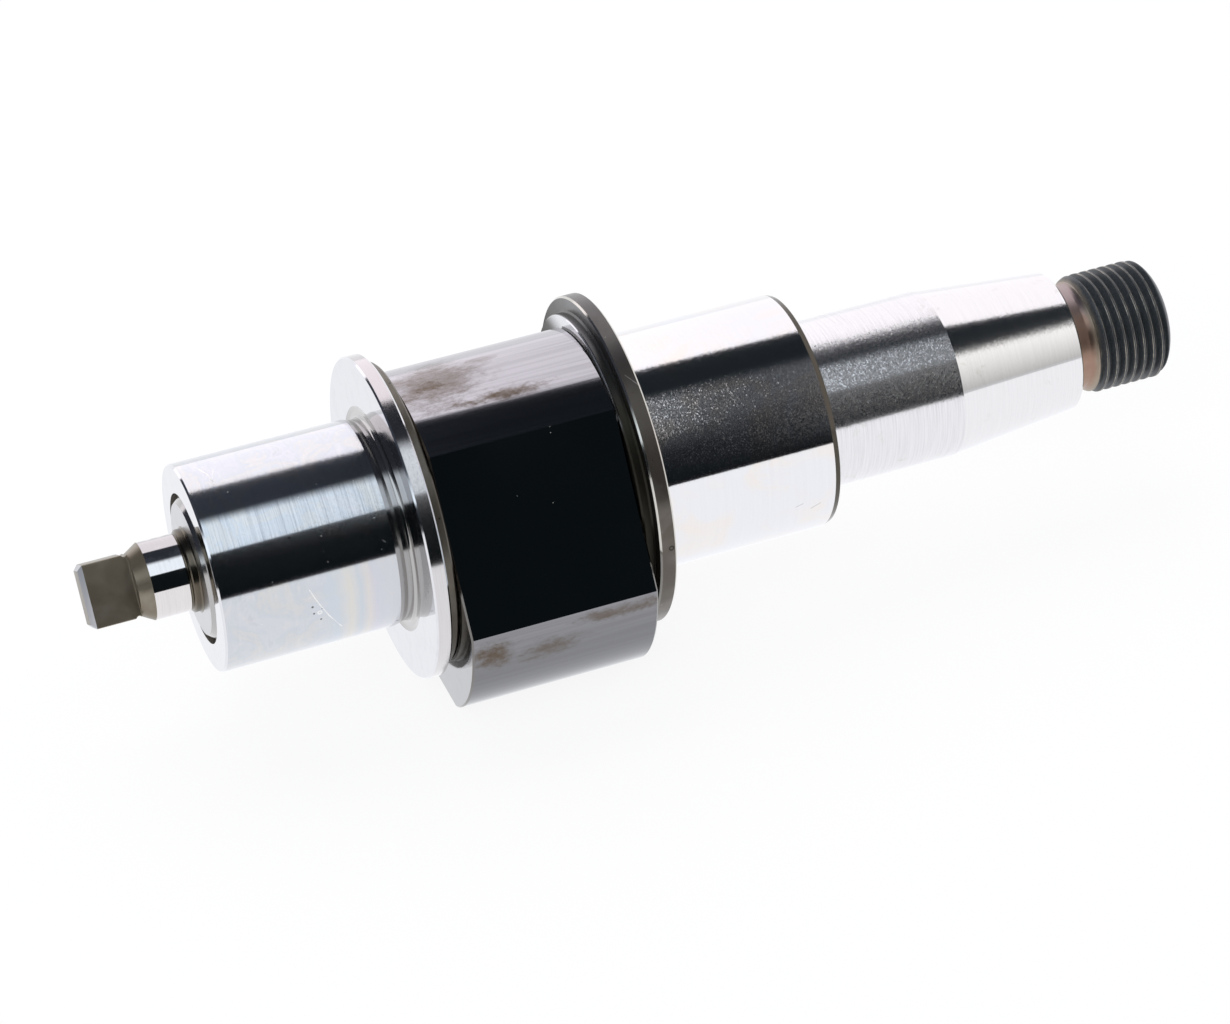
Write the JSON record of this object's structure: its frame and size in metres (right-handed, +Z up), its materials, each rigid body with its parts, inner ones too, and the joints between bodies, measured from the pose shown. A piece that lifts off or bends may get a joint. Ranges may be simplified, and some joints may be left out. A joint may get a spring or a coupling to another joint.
{
  "type": "eccentric shaft",
  "caption": "Eccentric drive shaft of a radial-piston pump with a three-flat ring on the eccentric, two journals, thrust discs, a taper, a threaded end and a drive tang.",
  "frame": {"origin": "on the shaft axis, half way along the ground wall of the main journal; the floor that the part lies on is 24.55 mm below", "axes": "+X along the shaft axis from the drive tang to the threaded end, +Z up as it rests on one flat of the ring and on the main thrust disc"},
  "size_m": [0.1658, 0.0515, 0.0491],
  "materials": {
    "shaft_steel": "ground and polished hardened steel, olive-brown as-hardened skin on the disc, tang and cone",
    "sleeve_steel": "polished journal and lapped disc face",
    "ring_steel": "hardened steel, flats lapped to a mirror, round parts satin with brown heat marks",
    "bush_metal": "bronze bearing lining"
  },
  "bodies": {
    "shaft": {"shaft": "shaft_steel", "journal_sleeve": "sleeve_steel"},
    "ring": {"polygon_ring": "ring_steel", "ring_bush": "bush_metal"}
  },
  "joints": [
    {"name": "ring_turn", "type": "hinge", "parent": "shaft", "child": "ring", "pos_m": [-0.03255, -0.00227, -0.00365], "axis": [1, 0, 0], "continuous": true}
  ]
}
